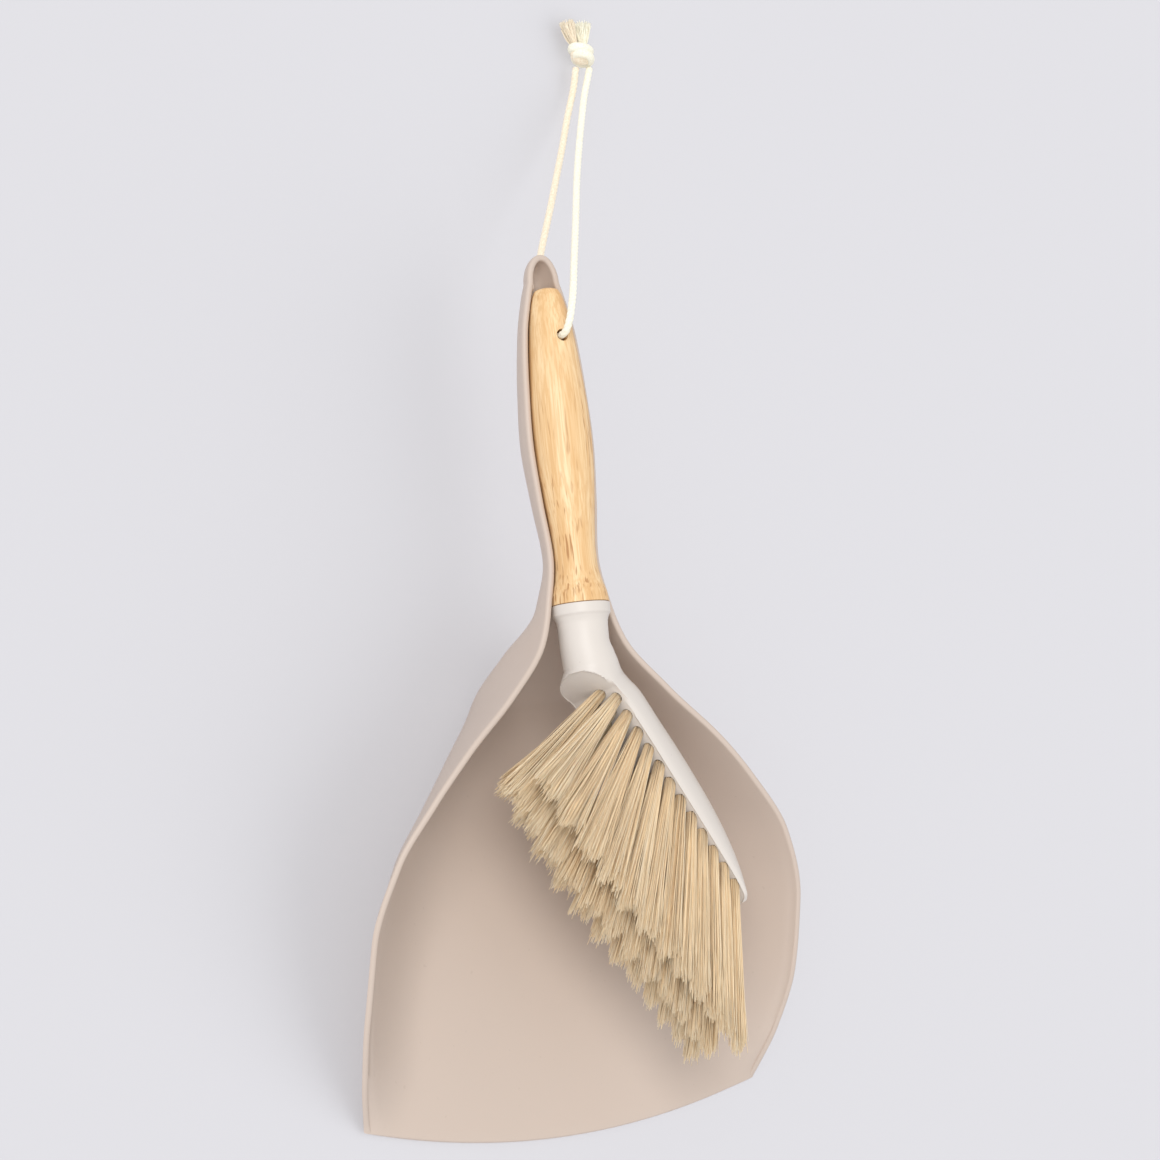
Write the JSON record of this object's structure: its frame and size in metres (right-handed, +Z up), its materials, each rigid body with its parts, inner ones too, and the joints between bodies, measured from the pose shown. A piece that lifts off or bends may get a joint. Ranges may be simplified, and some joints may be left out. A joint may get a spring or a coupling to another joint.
{
  "type": "dust pan and brush set",
  "caption": "Leaf-shaped moulded dust pan with a trough handle that a bamboo-handled, slant-headed hand brush nests in, on a knotted cotton hanging cord",
  "frame": {"origin": "on the surface under the middle of the set's length and width, where the pan's flat base lies (cord not counted)", "axes": "+Z up from the base, +Y along the handles towards their tip, -Y towards the pan's lip, +X to the side the brush's head points to"},
  "size_m": [0.2078, 0.4891, 0.0816],
  "materials": {
    "pan_plastic": "smooth satin moulded",
    "head_plastic": "smooth satin moulded",
    "bamboo": "sanded, thin clear lacquer",
    "bristle": "natural plant fibre, trimmed",
    "cotton_cord": "twisted cotton, matte"
  },
  "bodies": {
    "dustpan": {"dustpan": "pan_plastic", "dustpan_handle": "pan_plastic", "cord_front": "cotton_cord", "cord_back": "cotton_cord", "cord_knot": "cotton_cord", "cord_tail_left": "cotton_cord", "cord_tail_right": "cotton_cord"},
    "brush": {"brush_head": "head_plastic", "bamboo_handle": "bamboo", "tuft_top_01": "bristle", "tuft_top_02": "bristle", "tuft_top_03": "bristle", "tuft_top_04": "bristle", "tuft_top_05": "bristle", "tuft_top_06": "bristle", "tuft_top_07": "bristle", "tuft_top_08": "bristle", "tuft_top_09": "bristle", "tuft_top_10": "bristle", "tuft_top_11": "bristle", "tuft_top_12": "bristle", "tuft_middle_01": "bristle", "tuft_middle_02": "bristle", "tuft_middle_03": "bristle", "tuft_middle_04": "bristle", "tuft_middle_05": "bristle", "tuft_middle_06": "bristle", "tuft_middle_07": "bristle", "tuft_middle_08": "bristle", "tuft_middle_09": "bristle", "tuft_middle_10": "bristle", "tuft_middle_11": "bristle", "tuft_middle_12": "bristle", "tuft_bottom_01": "bristle", "tuft_bottom_02": "bristle", "tuft_bottom_03": "bristle", "tuft_bottom_04": "bristle", "tuft_bottom_05": "bristle", "tuft_bottom_06": "bristle", "tuft_bottom_07": "bristle", "tuft_bottom_08": "bristle", "tuft_bottom_09": "bristle", "tuft_bottom_10": "bristle", "tuft_bottom_11": "bristle", "tuft_bottom_12": "bristle"}
  },
  "joints": [
    {"name": "brush_lift", "type": "slide", "parent": "dustpan", "child": "brush", "axis": [0, 0, 1], "range_m": [0, 0.09], "deforming": ["cord_front"]}
  ]
}
